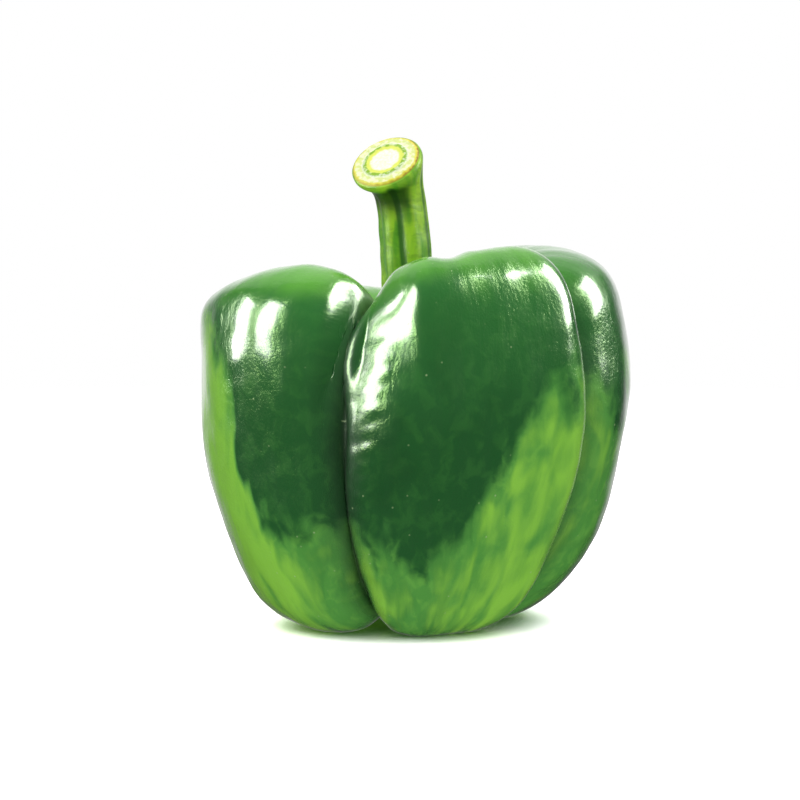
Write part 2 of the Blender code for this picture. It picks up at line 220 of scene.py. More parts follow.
def smooth_through(values, t, level_ends):
    """The cubic spline through evenly spaced values, at t from 0 to 1.

    Its second derivatives come from the usual 1-4-1 equations. Its ends are level, or straight.
    """
    values = np.asarray(values, float)
    last = len(values) - 1
    system = np.eye(last + 1)
    right = np.zeros(last + 1)
    for k in range(1, last):
        system[k, k - 1 : k + 2] = (1.0, 4.0, 1.0)
        right[k] = 6.0 * (values[k - 1] - 2.0 * values[k] + values[k + 1])
    if level_ends:
        system[0, :2] = (2.0, 1.0)
        right[0] = 6.0 * (values[1] - values[0])
        system[last, last - 1 :] = (1.0, 2.0)
        right[last] = 6.0 * (values[last - 1] - values[last])
    bend = np.linalg.solve(system, right)
    place = np.clip(t, 0.0, 1.0) * last
    k = np.minimum(place.astype(int), last - 1)
    after = place - k
    before = 1.0 - after
    curve = (before**3 - before) * bend[k] + (after**3 - after) * bend[k + 1]
    return before * values[k] + after * values[k + 1] + curve / 6.0


def bell(x, middle, width):
    """A smooth bump of height 1 at middle."""
    return np.exp(-(((x - middle) / width) ** 2))


def turn_from(azimuth, other):
    """Signed angle from another azimuth, between -180 and 180."""
    return (azimuth - other + 180.0) % 360.0 - 180.0


def ease(x, start, end):
    """0 before start, 1 after end, and a smooth step between them."""
    share = np.clip((x - start) / (end - start), 0.0, 1.0)
    return share * share * (3.0 - 2.0 * share)


def across_lobe(azimuth):
    """Which lobe an azimuth is on, and its place there: -1 and 1 at the furrows, 0 at the crest."""
    edges = np.append(FURROW_AZIMUTHS, FURROW_AZIMUTHS[0] + 360.0)
    turned = (azimuth - edges[0]) % 360.0 + edges[0]
    index = np.clip(np.searchsorted(edges, turned, side="right") - 1, 0, len(LOBES) - 1)
    crest = np.array([lobe.azimuth for lobe in LOBES])[index]
    before, after = edges[index], edges[index + 1]
    place = turned - crest
    return index, np.where(place < 0.0, place / (crest - before), place / (after - crest))


def fruit_surface(azimuth, t):
    """Points of the fruit's skin: t runs from the well's middle, over the side, to the dimple's.

    Between the furrow and crest outlines the skin follows the root of 1 + e - |place|^power, which
    bulges like a lobe and is sharp at the furrows, less so near the well and the dimple, where the
    softness e is larger. The skin is then smoothly cut back to the nearly flat faces.
    """
    crest_r, crest_z = (smooth_through(column, t, k == 1) for k, column in enumerate(zip(*CREST)))
    furrow_r, furrow_z = (smooth_through(column, t, k == 1) for k, column in enumerate(zip(*FURROW)))
    index, place = across_lobe(azimuth)
    lobe = Lobe(*(np.array(column)[index] for column in zip(*LOBES)))
    crest_r = crest_r + lobe.shoulder * bell(t, *SHOULDER) + lobe.belly * bell(t, *BELLY)
    crest_r = crest_r + lobe.hip * bell(t, *HIP) + lobe.ankle * bell(t, *ANKLE)
    crest_z = crest_z + (lobe.rise + lobe.lean * place) * bell(t, *RISE) + lobe.heel * bell(t, *HEEL)
    in_well = np.clip(1.0 - t / WELL_EDGE, 0.0, 1.0)
    in_dimple = np.clip((t - DIMPLE_EDGE) / (1.0 - DIMPLE_EDGE), 0.0, 1.0)
    softness = FURROW_SOFTNESS + WELL_SOFTNESS * in_well + DIMPLE_SOFTNESS * in_dimple
    power = np.where(place < 0.0, BULGE_POWER, lobe.square)
    bulge = np.sqrt(1.0 + softness - np.abs(place) ** power) - np.sqrt(softness)
    bulge = bulge / (np.sqrt(1.0 + softness) - np.sqrt(softness))
    radius = furrow_r + (crest_r - furrow_r) * bulge
    height = furrow_z + (crest_z - furrow_z) * bulge
    for face in FACES:
        turn = np.radians(np.clip(turn_from(azimuth, face.azimuth), -FACE_TURN, FACE_TURN))
        flat = np.maximum(face.share * crest_r / np.cos(turn), furrow_r)
        faced = 0.5 * (radius + flat - np.hypot(radius - flat, face.softness))
        on_face = (index == face.lobe) * ease(t, *face.start) * (1.0 - ease(t, *face.end))
        on_face = on_face * ease(1.0 - np.abs(place), 0.0, face.edge)
        radius = radius + on_face * (faced - radius)
    notch = bell(turn_from(azimuth, NOTCH_AZIMUTH), 0.0, NOTCH_WIDTH) * bell(t, *NOTCH)
    height = height - NOTCH_DEPTH * notch
    near_furrow = bell(turn_from(azimuth, FURROW_AZIMUTHS[0]), 0.0, TURN_WIDTH)
    angle = np.radians(azimuth + FRONT_FURROW_TURN * near_furrow * bell(t, *TURN))
    return np.stack([radius * np.sin(angle), -radius * np.cos(angle), height - FOOT_FLAT], -1)


def well_height(x, y):
    """Height of the skin in the well at the top, under the points (x, y)."""
    t = np.linspace(0.0, WELL_SEARCH, WELL_STEPS)
    azimuth = np.degrees(np.arctan2(x, -y))
    line = fruit_surface(azimuth[..., None], np.broadcast_to(t, azimuth.shape + t.shape))
    reach = np.hypot(line[..., 0], line[..., 1])
    wanted = np.hypot(x, y)[..., None]
    k = np.clip((reach < wanted).sum(-1), 1, len(t) - 1)[..., None]
    low, high = (np.take_along_axis(reach, j, -1)[..., 0] for j in (k - 1, k))
    low_z, high_z = (np.take_along_axis(line[..., 2], j, -1)[..., 0] for j in (k - 1, k))
    return low_z + (high_z - low_z) * (wanted[..., 0] - low) / (high - low)


def stem_ring(azimuth, s):
    """Middle, radius and the three axes of the stem's ring at s, from 0 at its foot to 1 at the cut."""
    columns = [smooth_through(column, s, False) for column in zip(*STEM)]
    middle = np.stack(columns[:3], -1)
    tilt = np.clip(columns[4], 0.0, 1.0)[..., None]
    up = (1.0 - tilt) * np.array([0.0, 0.0, 1.0]) + tilt * np.array(CUT_FACING)
    up = up / np.linalg.norm(up, axis=-1, keepdims=True)
    right = np.cross([0.0, 1.0, 0.0], up)
    right = right / np.linalg.norm(right, axis=-1, keepdims=True)
    rib = RIB_DEPTH * (1.0 - tilt[..., 0]) * np.cos(np.radians(RIBS * (azimuth - RIB_PHASE)))
    return middle, columns[3] + rib, right, np.cross(up, right), up


def stem_surface(azimuth, t):
    """Points of the stem: under the calyx, over its top, up the stalk, and in over the cut end."""
    angle = np.radians(azimuth)
    s = np.clip((t - STALK) / (CUT_END - STALK), 0.0, 1.0)
    middle, radius, right, back, up = stem_ring(azimuth, s)
    inward = np.clip((t - CUT_END) / (1.0 - CUT_END), 0.0, 1.0)
    radius = radius * (1.0 - inward)
    out = right * np.sin(angle)[..., None] - back * np.cos(angle)[..., None]
    crown = CUT_CROWN * inward * (2.0 - inward)
    stalk = middle + radius[..., None] * out + crown[..., None] * up

    foot_middle, foot_radius = stem_ring(azimuth, np.zeros_like(t))[:2]
    edge = CALYX_RADIUS + CALYX_POINT * np.cos(np.radians(RIBS * (azimuth - RIB_PHASE)))
    inner = np.clip((t - CALYX_TOP) / (STALK - CALYX_TOP), 0.0, 1.0)
    reach = np.where(t < CALYX_TOP, edge * t / CALYX_TOP, edge + (foot_radius - edge) * inner)
    x = foot_middle[..., 0] + reach * np.sin(angle)
    y = foot_middle[..., 1] - reach * np.cos(angle)
    seat = well_height(x, y) + GAP
    edge_top = seat + CALYX_THICKNESS * np.sqrt(np.clip(CALYX_RIM * inner, 0.0, 1.0))
    height = edge_top + (foot_middle[..., 2] - edge_top) * inner**CALYX_SPREAD
    calyx = np.stack([x, y, np.where(t < CALYX_TOP, seat, height)], -1)
    return np.where((t < STALK)[..., None], calyx, stalk)


def waves(grain, kind, seed):
    """A sum of cosines on the grain, of random headings and of wavelengths within two ranges.

    The grain's first two coordinates go round the fruit and its third goes along it. The sum's
    height is the root mean square that kind gives, in millimetres.
    """
    around, along, height, count = kind
    rng = np.random.default_rng(seed)
    total = np.zeros(grain.shape[:-1])
    for _ in range(count):
        heading = rng.uniform(0.0, 2.0 * np.pi)
        round_k = 2.0 * np.pi / (rng.uniform(*around) * MM)
        along_k = 2.0 * np.pi / (rng.uniform(*along) * MM) * rng.choice((-1.0, 1.0))
        mix = rng.uniform(0.35, 1.0)
        k = (round_k * mix * np.cos(heading), round_k * mix * np.sin(heading), along_k)
        total += np.cos(grain @ np.array(k) + rng.uniform(0.0, 2.0 * np.pi))
    return total * height * MM * math.sqrt(2.0 / count)


def outward(points):
    """Unit normals of a grid of rings by meridians, from the cross product of its two directions."""
    around = np.roll(points, -1, axis=1) - np.roll(points, 1, axis=1)
    along = np.gradient(points, axis=0)
    normal = np.cross(along, around)
    return normal / np.maximum(np.linalg.norm(normal, axis=-1, keepdims=True), 1e-12)


def closed_piece(name, points, attributes):
    """A closed mesh from a grid of rings by meridians, whose first and last rings are single points.

    Each ring joins the next with quads, and the two end points close it with fans of triangles.
    """
    rings, meridians = points.shape[:2]
    flat = np.concatenate([points[:1, 0], points[1:-1].reshape(-1, 3), points[-1:, 0]])
    first = 1 + np.arange(rings - 2)[:, None] * meridians
    here = np.arange(meridians)
    beside = (here + 1) % meridians
    upper, lower = first[:-1], first[1:]
    quads = np.stack([upper + here, lower + here, lower + beside, upper + beside], -1).reshape(-1, 4)
    top = np.stack([np.zeros_like(here), 1 + here, 1 + beside], -1)
    last = len(flat) - 1
    bottom = np.stack([first[-1, 0] + here, np.full_like(here, last), first[-1, 0] + beside], -1)
    mesh = bpy.data.meshes.new(name)
    mesh.from_pydata(flat.tolist(), [], top.tolist() + quads.tolist() + bottom.tolist())
    for label, values in attributes.items():
        middle = values[1:-1].reshape(-1, *values.shape[2:])
        values = np.concatenate([values[:1, 0], middle, values[-1:, 0]])
        kind, field = ("FLOAT_VECTOR", "vector") if values.ndim > 1 else ("FLOAT", "value")
        made = mesh.attributes.new(label, kind, "POINT")
        made.data.foreach_set(field, values.astype(np.float32).ravel())
    mesh.update()
    mesh.shade_smooth()
    piece = bpy.data.objects.new(name, mesh)
    bpy.context.scene.collection.objects.link(piece)
    return piece


def lobed_meridians(count):
    """Azimuths of evenly many meridians on each lobe, crowded towards the furrows."""
    per_lobe = count // len(LOBES)
    u = 2.0 * np.arange(per_lobe) / per_lobe - 1.0
    place = (1.0 - FURROW_CROWDING) * u + FURROW_CROWDING * np.sin(0.5 * np.pi * u)
    befores = np.array(FURROW_AZIMUTHS)
    afters = np.append(befores[1:], befores[0] + 360.0)
    crests = np.array([lobe.azimuth for lobe in LOBES])[:, None]
    near, far = crests - befores[:, None], afters[:, None] - crests
    return (crests + place * np.where(place < 0.0, near, far)).ravel()


def even_rings(count):
    """Values of t that space the rings evenly along the crest's outline, and that outline's length."""
    t = np.linspace(0.0, 1.0, OUTLINE_SAMPLES)
    r, z = (smooth_through(column, t, k == 1) for k, column in enumerate(zip(*CREST)))
    length = np.concatenate([[0.0], np.cumsum(np.hypot(np.diff(r), np.diff(z)))])
    wanted = np.linspace(0.0, length[-1], count)
    return np.interp(wanted, length, t), wanted


def around_value(pairs, azimuth):
    """Smooth value round the fruit through (azimuth, value) pairs, eased between neighbours."""
    pairs = sorted(((a % 360.0), v) for a, v in pairs)
    a = np.array([p[0] for p in pairs])
    v = np.array([p[1] for p in pairs])
    a = np.concatenate([[a[-1] - 360.0], a, [a[0] + 360.0]])
    v = np.concatenate([[v[-1]], v, [v[0]]])
    turned = azimuth % 360.0
    k = np.clip(np.searchsorted(a, turned, side="right") - 1, 0, len(a) - 2)
    share = np.clip((turned - a[k]) / np.maximum(a[k + 1] - a[k], 1e-9), 0.0, 1.0)
    return v[k] + (v[k + 1] - v[k]) * (share * share * (3.0 - 2.0 * share))


def bells_on_skin(azimuth, height, bells):
    """Sum of bells, given by azimuth, degrees wide, height, how tall, in millimetres, and amount."""
    total = np.zeros_like(azimuth)
    for middle, width, level, tall, amount in bells:
        around = bell(turn_from(azimuth, middle), 0.0, width)
        total += amount * around * bell(height, level * MM, tall * MM)
    return total


def fruit_piece():
    """The fruit: its plain surface, moved along its normals by swells, ripples, pebbles and puckers."""
    t, arc = even_rings(FRUIT_RINGS)
    azimuth, t = np.meshgrid(lobed_meridians(FRUIT_MERIDIANS), t)
    arc = np.broadcast_to(arc[:, None], t.shape)
    plain = fruit_surface(azimuth, t)
    height = plain[..., 2]
    angle = np.radians(azimuth)
    grain = np.stack([GRAIN_RADIUS * np.sin(angle), -GRAIN_RADIUS * np.cos(angle), arc], -1)

    relief = waves(grain, SWELL, SEED) + waves(grain, RIPPLE, SEED + 1) + waves(grain, PEBBLE, SEED + 2)
    relief = relief + waves(grain, STREAK, SEED + 4) + MM * bells_on_skin(azimuth, height, SINGLE_RELIEF)
    relief = relief * ease(t, *SIDE_START) * (1.0 - ease(t, *SIDE_END))
    beside = bell(turn_from(azimuth, FURROW_AZIMUTHS[0] + PUCKER_TURN), 0.0, PUCKER_WIDTH)
    beside = beside * ease(t, *PUCKER_START) * (1.0 - ease(t, *PUCKER_END))
    relief = relief + beside * waves(grain, PUCKER, SEED + 3)
    reach = np.hypot(plain[..., 0], plain[..., 1])
    scar = (1.0 - ease(reach, *SCAR_EDGE)) * (t > 0.5)
    relief = relief - SCAR_DEPTH * scar
    points = plain + relief[..., None] * outward(plain)
    points[..., 2] = np.maximum(points[..., 2], 0.0)

    # The pale mask and the yellow-green share are partly own colour, partly painted floor reflection.
    pale = (around_value(PALE_EDGE, azimuth) - height / MM) / PALE_SOFTNESS
    looks = {
        "grain": grain,
        "pale": pale - bells_on_skin(azimuth, height, BLOTCHES),
        "light": around_value(LIGHT_SHARE, azimuth),
        # The crown share places painted light from above on the shoulders.
        "crown": around_value(CROWN_SHARE, azimuth),
        # The furrow share places painted shade near the furrows, and roughens the coat there.
        "furrow": np.abs(across_lobe(azimuth)[1]) ** FURROW_SHADE_POWER,
        "scar": scar,
        "run": t,
    }
    return closed_piece("pepper_skin", placed("fruit", plain, points), looks)


def placed(node, plain, points):
    """The points, moved sideways so that the plain shape's box stands where the CAD node's does."""
    low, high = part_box(node)
    middle = plain.reshape(-1, 3)
    middle = 0.5 * (middle.min(0) + middle.max(0))
    shift = 0.5 * (np.array(low) + np.array(high)) - middle
    shift[2] = 0.0
    return points + shift


def stem_piece():
    """The stem: calyx, ribbed stalk with grooves and fibres, and a fibrous cut end.

    Its rings run from the cut end's middle down to the calyx's underside, so its faces are outward.
    """
    parts = [np.linspace(a, b, n, endpoint=False) for a, b, n in STEM_RINGS]
    t = np.append(np.concatenate(parts), 1.0)[::-1]
    azimuth, t = np.meshgrid(np.arange(STEM_MERIDIANS) * 360.0 / STEM_MERIDIANS, t)
    plain = stem_surface(azimuth, t)
    angle = np.radians(azimuth)
    s = np.clip((t - STALK) / (CUT_END - STALK), 0.0, 1.0)
    inward = np.clip((t - CUT_END) / (1.0 - CUT_END), 0.0, 1.0)
    reach = 1.0 - inward
    up = stem_ring(azimuth, s)[4]
    ring = np.stack([np.sin(angle), -np.cos(angle), np.zeros_like(angle)], -1)
    grain = STALK_GRAIN_RADIUS * ring
    grain[..., 2] = plain[..., 2]

    above_calyx = ease(t, STALK - 0.02, STALK + 0.05)
    on_stalk = above_calyx * (1.0 - ease(t, CUT_END - 0.08, CUT_END))
    on_calyx = ease(t, CALYX_TOP + 0.01, CALYX_TOP + 0.06) * (1.0 - above_calyx)
    groove = sum(
        share * bell(turn_from(azimuth, foot + turn * s), 0.0, width)
        for foot, turn, width, share in GROOVES
    )
    fibres = waves(grain, FIBRES, SEED + 5)
    relief = on_stalk * (fibres + waves(grain, LUMPS, SEED + 6) - GROOVE_DEPTH * groove)
    relief = relief + on_calyx * (CALYX_FIBRES * fibres + waves(grain, CALYX_WAVES, SEED + 7))
    points = plain + relief[..., None] * outward(plain)

    face = CUT_GRAIN_RADIUS * reach[..., None] * ring
    raised = sum(height * bell(reach, middle, width) for middle, width, height in CUT_RINGS)
    raised = ease(inward, 0.02, 0.1) * (raised + waves(face, CUT_WAVES, SEED + 8))
    raised = raised - CUT_ROUNDING * bell(t, CUT_END, CUT_ROUNDING_WIDTH)
    points = points + raised[..., None] * up
    looks = {
        "grain": grain,
        "cut": ease(inward, 0.0, 0.04),
        "reach": reach,
        "face": face,
        "groove": groove * on_stalk,
        "calyx": 1.0 - ease(t, STALK - 0.06, STALK + 0.04),
        "height": s,
    }
    return closed_piece("pepper_stem", placed("stem", plain, points), looks)


# ---- Materials ----
def node(tree, kind, inputs=None, **settings):
    """A shader node with its settings, and with its inputs set or linked."""
    made = tree.nodes.new(kind)
    for key, value in settings.items():
        setattr(made, key, value)
    for key, value in (inputs or {}).items():
        socket = made.inputs[key]
        if isinstance(value, bpy.types.NodeSocket):
            tree.links.new(value, socket)
        else:
            socket.default_value = value
    return made


def attribute(tree, name):
    """The named attribute's node."""
    return node(tree, "ShaderNodeAttribute", attribute_name=name)


def blend_colour(tree, share, first, second):
    """Colour socket that goes from first to second as share goes from 0 to 1."""
    return node(tree, "ShaderNodeMix", {0: share, 6: first, 7: second}, data_type="RGBA").outputs[2]


def step(tree, value, low, high, start=0.0, end=1.0):
    """Smooth step of a value, from start at low to end at high."""
    made = node(
        tree, "ShaderNodeMapRange",
        {"Value": value, "From Min": low, "From Max": high, "To Min": start, "To Max": end},
        interpolation_type="SMOOTHSTEP",
    )
    return made.outputs["Result"]


def maths(tree, how, *values):
    """A Math node's value."""
    made = node(tree, "ShaderNodeMath", dict(enumerate(values)), operation=how)
    return made.outputs[0]


def swayed(tree, value, noise, amount):
    """A value moved up and down by a noise about its middle."""
    return maths(tree, "MULTIPLY_ADD", maths(tree, "SUBTRACT", noise, 0.5), amount, value)


def solid(colour):
    """A colour with full alpha."""
    return (*colour, 1.0)


def new_group(name, inputs, outputs):
    """An empty shader node group with named sockets: its tree, its inputs and its output node."""
    group = bpy.data.node_groups.new(name, "ShaderNodeTree")
    for label, kind, value in inputs:
        socket = group.interface.new_socket(label, in_out="INPUT", socket_type=kind)
        socket.default_value = value
    for label, kind in outputs:
        group.interface.new_socket(label, in_out="OUTPUT", socket_type=kind)
    return group, group.nodes.new("NodeGroupInput").outputs, group.nodes.new("NodeGroupOutput")


def blotch_group():
    """Group: blotches of noise, stretched along the grain, with an edge as soft as From and To say."""
    group, given, out = new_group(
        "blotches",
        (
            ("Grain", "NodeSocketVector", (0.0, 0.0, 0.0)),
            ("Stretch", "NodeSocketVector", (1.0, 1.0, 1.0)),
            ("Scale", "NodeSocketFloat", 100.0),
            ("Detail", "NodeSocketFloat", 3.0),
            ("Warp", "NodeSocketFloat", 0.0),
            ("From", "NodeSocketFloat", 0.4),
            ("To", "NodeSocketFloat", 0.6),
        ),
        (("Mask", "NodeSocketFloat"), ("Noise", "NodeSocketFloat")),
    )
    stretched = node(
        group, "ShaderNodeVectorMath", {0: given["Grain"], 1: given["Stretch"]}, operation="MULTIPLY"
    )
    noise = node(
        group, "ShaderNodeTexNoise",
        {
            "Vector": stretched.outputs[0], "Scale": given["Scale"], "Detail": given["Detail"],
            "Distortion": given["Warp"],
        },
    )
    mask = step(group, noise.outputs[0], given["From"], given["To"])
    group.links.new(mask, out.inputs["Mask"])
    group.links.new(noise.outputs[0], out.inputs["Noise"])
    return group


def speck_group():
    """Group: small round specks, one in each cell of a random few of the cells."""
    group, given, out = new_group(
        "specks",
        (
            ("Grain", "NodeSocketVector", (0.0, 0.0, 0.0)),
            ("Scale", "NodeSocketFloat", 200.0),
            ("Size", "NodeSocketFloat", 0.1),
            ("Share", "NodeSocketFloat", 0.3),
        ),
        (("Mask", "NodeSocketFloat"),),
    )
    cells = node(group, "ShaderNodeTexVoronoi", {"Vector": given["Grain"], "Scale": given["Scale"]})
    chance = node(group, "ShaderNodeSeparateColor", {0: cells.outputs["Color"]})
    kept = maths(group, "LESS_THAN", chance.outputs[0], given["Share"])
    spot = step(group, cells.outputs["Distance"], given["Size"], 0.0)
    group.links.new(maths(group, "MULTIPLY", kept, spot), out.inputs["Mask"])
    return group


def use_group(tree, group, **values):
    """The outputs of a group placed in a material with its own values."""
    made = node(tree, "ShaderNodeGroup", node_tree=group)
    for label, value in values.items():
        socket = made.inputs[label]
        if isinstance(value, bpy.types.NodeSocket):
            tree.links.new(value, socket)
        else:
            socket.default_value = value
    return made.outputs


def new_material(name):
    """A material with a node tree: the material, its tree and its Principled shader."""
    material = bpy.data.materials.new(name)
    material.use_nodes = True
    tree = material.node_tree
    return material, tree, tree.nodes["Principled BSDF"]


def attribute_values(tree, *names):
    """The value sockets of the named attributes."""
    return [attribute(tree, name).outputs["Fac"] for name in names]


def skin_material(blotches, specks):
    """Waxed green skin: dark above, paler below a ragged edge, streaked, mottled and finely specked.

    The paler lower skin is partly own colour and partly a painted reflection of the white floor.
    Painted light from above lightens the top and shoulders; painted shade darkens the furrows.
    """
    material, tree, shader = new_material("pepper_skin")
    grain = attribute(tree, "grain").outputs["Vector"]
    pale, share, crowned, furrow, scar, run = attribute_values(
        tree, "pale", "light", "crown", "furrow", "scar", "run"
    )
    broad = use_group(
        tree, blotches, Grain=grain, Stretch=(1.0, 1.0, 0.7), Scale=75.0, Detail=3.0, Warp=0.4,
    )
    streak = use_group(
        tree, blotches, Grain=grain, Stretch=(1.0, 1.0, 0.22), Scale=230.0, Detail=4.0, Warp=0.3,
    )
    mottle = use_group(
        tree, blotches, Grain=grain, Stretch=(1.0, 1.0, 0.8), Scale=330.0, Detail=4.0, Warp=0.6,
        From=0.44, To=0.66,
    )
    cloud = use_group(
        tree, blotches, Grain=grain, Stretch=(1.0, 1.0, 0.55), Scale=150.0, Detail=1.5, Warp=0.8,
    )
    cells = use_group(tree, blotches, Grain=grain, Scale=1500.0, Detail=2.0, From=0.3, To=0.7)
    dots = use_group(tree, specks, Grain=grain, Scale=340.0, Size=0.11, Share=0.4)

    ragged = pale
    for noise, amount in ((broad, 1.3), (cloud, 2.0), (mottle, 0.5), (streak, 0.5)):
        ragged = swayed(tree, ragged, noise["Noise"], amount)
    # Paler lower skin: partly own colour, partly a painted reflection of the white floor.
    lower = step(tree, ragged, -0.30, 0.42)
    light = swayed(tree, swayed(tree, share, streak["Noise"], 1.0), cloud["Noise"], 1.6)
    light = maths(tree, "MULTIPLY", step(tree, light, 0.26, 1.0), step(tree, ragged, 0.05, 1.1))

    dark = blend_colour(tree, mottle["Mask"], solid(DARK_GREEN), solid(DARK_GREEN_MOTTLE))
    dark = blend_colour(tree, step(tree, broad["Noise"], 0.5, 0.75), dark, solid(DARK_GREEN_SHADE))
    # Painted light from above: lighter towards the top, and lighter still on the shoulders.
    dark = blend_colour(tree, step(tree, run, 0.52, 0.30, 0.0, 0.75), dark, solid(UPPER_PAINTED_LIGHT))
    crown = step(tree, swayed(tree, run, broad["Noise"], 0.12), 0.375, 0.28)
    dark = blend_colour(tree, maths(tree, "MULTIPLY", crown, crowned), dark, solid(CROWN_PAINTED_LIGHT))
    mid = blend_colour(tree, mottle["Mask"], solid(PALE_GREEN), solid(PALE_GREEN_MOTTLE))
    mid = blend_colour(tree, step(tree, cloud["Noise"], 0.42, 0.68), mid, solid(PALE_GREEN_SHADE))
    colour = blend_colour(tree, lower, dark, mid)
    colour = blend_colour(tree, light, colour, solid(YELLOW_GREEN))
    # Painted shade darkening the skin towards the furrows.
    colour = blend_colour(tree, maths(tree, "MULTIPLY", furrow, 0.75), colour, solid(FURROW_PAINTED_SHADE))
    colour = blend_colour(tree, maths(tree, "MULTIPLY", dots["Mask"], 0.6), colour, solid(SKIN_SPECK))
    scarred = maths(tree, "MULTIPLY", scar, mottle["Noise"])
    colour = blend_colour(tree, step(tree, scarred, 0.15, 0.45), colour, solid(SCAR_BROWN))
    tree.links.new(colour, shader.inputs["Base Color"])

    rough = maths(tree, "MULTIPLY_ADD", scar, 0.3, step(tree, mottle["Noise"], 0.3, 0.7, 0.20, 0.27))
    tree.links.new(rough, shader.inputs["Roughness"])
    wax = maths(tree, "MULTIPLY_ADD", furrow, 0.35, step(tree, streak["Noise"], 0.35, 0.65, 0.12, 0.19))
    tree.links.new(wax, shader.inputs["Coat Roughness"])
    height = maths(tree, "MULTIPLY", streak["Noise"], 1.7)
    for mask, amount in ((cells["Mask"], 0.10), (mottle["Noise"], 0.6), (dots["Mask"], 0.15)):
        height = maths(tree, "MULTIPLY_ADD", mask, amount, height)
    bump = node(tree, "ShaderNodeBump", {"Strength": 1.0, "Distance": 0.00020, "Height": height})
    tree.links.new(bump.outputs[0], shader.inputs["Normal"])
    shader.inputs["IOR"].default_value = 1.45
    shader.inputs["Specular Tint"].default_value = solid(WAX_TINT)
    shader.inputs["Coat Weight"].default_value = 1.0
    shader.inputs["Coat IOR"].default_value = 1.45
    return material


def stalk_colour(tree, blotches, specks, grain, fibre, mottle):
    """Yellow-green bands, painted shade in grooves and under the head, and the calyx at the foot."""
    groove, calyx, height = attribute_values(tree, "groove", "calyx", "height")
    band = use_group(
        tree, blotches, Grain=grain, Stretch=(1.0, 1.0, 0.25), Scale=260.0, Detail=3.0, Warp=0.4,
        From=0.40, To=0.60,
    )
    dots = use_group(tree, specks, Grain=grain, Scale=500.0, Size=0.16, Share=0.3)
    colour = blend_colour(tree, band["Mask"], solid(STALK_GREEN), solid(STALK_BAND))
    colour = blend_colour(tree, maths(tree, "MULTIPLY", mottle["Mask"], 0.45), colour, solid(STALK_MOTTLE))
    colour = blend_colour(tree, maths(tree, "MULTIPLY", fibre["Mask"], 0.25), colour, solid(STALK_FIBRE))
    # Painted shade in the stalk's grooves.
    colour = blend_colour(tree, step(tree, groove, 0.15, 0.8, 0.0, 0.85), colour, solid(GROOVE_PAINTED_SHADE))
    turned = node(tree, "ShaderNodeSeparateXYZ", {0: grain})
    shaded = maths(tree, "MULTIPLY", step(tree, height, 0.46, 0.62), step(tree, height, 0.90, 0.74))
    shaded = maths(tree, "MULTIPLY", shaded, step(tree, turned.outputs[0], 0.0036, 0.0010, 0.0, 0.85))
    colour = blend_colour(tree, shaded, colour, solid(HEAD_SHADE))
    calyx_colour = blend_colour(tree, mottle["Mask"], solid(CALYX_GREEN), solid(CALYX_MOTTLE))
    colour = blend_colour(tree, calyx, colour, calyx_colour)
    return blend_colour(tree, maths(tree, "MULTIPLY", dots["Mask"], 0.5), colour, solid(STEM_SPECK))


def cut_colour(tree, blotches, face, pith):
    """From the middle out: pale pith, a dashed ring of vessels, flesh, a yellow edge and a brown rim."""
    reach = attribute(tree, "reach").outputs["Fac"]
    dash = use_group(tree, blotches, Grain=face, Scale=900.0, Detail=1.0, From=0.42, To=0.54)
    wobble = swayed(tree, reach, dash["Noise"], 0.10)
    colour = blend_colour(tree, pith["Mask"], solid(PITH), solid(PITH_PALE))
    edge = maths(tree, "MULTIPLY", step(tree, wobble, 0.38, 0.47), step(tree, wobble, 0.60, 0.54))
    colour = blend_colour(tree, edge, colour, solid(PITH_EDGE))
    vessels = maths(tree, "MULTIPLY", step(tree, wobble, 0.53, 0.57), step(tree, wobble, 0.70, 0.63))
    vessels = maths(tree, "MULTIPLY", vessels, maths(tree, "MULTIPLY_ADD", dash["Mask"], 0.6, 0.4))
    colour = blend_colour(tree, vessels, colour, solid(VESSELS))
    flesh = blend_colour(tree, dash["Mask"], solid(FLESH), solid(FLESH_DARK))
    colour = blend_colour(tree, step(tree, wobble, 0.66, 0.74, 0.0, 0.9), colour, flesh)
    colour = blend_colour(tree, step(tree, wobble, 0.86, 0.93), colour, solid(CUT_YELLOW))
    side = node(tree, "ShaderNodeSeparateXYZ", {0: face})
    browned = step(tree, side.outputs[0], -0.006, 0.006, 0.35, 1.0)
    browned = maths(tree, "MULTIPLY", step(tree, wobble, 0.93, 0.97), browned)
    return blend_colour(tree, browned, colour, solid(CUT_BROWN))


def stem_material(blotches, specks):
    """The stalk with its calyx, and the cut end."""
    material, tree, shader = new_material("pepper_stem")
    grain = attribute(tree, "grain").outputs["Vector"]
    face = attribute(tree, "face").outputs["Vector"]
    cut = attribute(tree, "cut").outputs["Fac"]
    fibre = use_group(
        tree, blotches, Grain=grain, Stretch=(1.0, 1.0, 0.12), Scale=900.0, Detail=3.0, Warp=0.2,
        From=0.38, To=0.66,
    )
    mottle = use_group(
        tree, blotches, Grain=grain, Stretch=(0.6, 0.6, 1.6), Scale=420.0, Detail=4.0, Warp=0.8,
        From=0.42, To=0.62,
    )
    pith = use_group(tree, blotches, Grain=face, Scale=1500.0, Detail=3.0, From=0.35, To=0.7)
    stalk = stalk_colour(tree, blotches, specks, grain, fibre, mottle)
    colour = blend_colour(tree, cut, stalk, cut_colour(tree, blotches, face, pith))
    tree.links.new(colour, shader.inputs["Base Color"])
    tree.links.new(step(tree, cut, 0.0, 1.0, 0.42, 0.62), shader.inputs["Roughness"])
    height = maths(tree, "MULTIPLY_ADD", mottle["Noise"], 0.8, fibre["Noise"])
    height = maths(tree, "MULTIPLY_ADD", pith["Noise"], cut, height)
    bump = node(tree, "ShaderNodeBump", {"Strength": 0.8, "Distance": 0.00012, "Height": height})
    tree.links.new(bump.outputs[0], shader.inputs["Normal"])
    shader.inputs["Specular Tint"].default_value = solid(STALK_TINT)
    shader.inputs["Specular IOR Level"].default_value = 0.15
    shader.inputs["Coat Weight"].default_value = 0.1
    shader.inputs["Coat Roughness"].default_value = 0.3
    return material


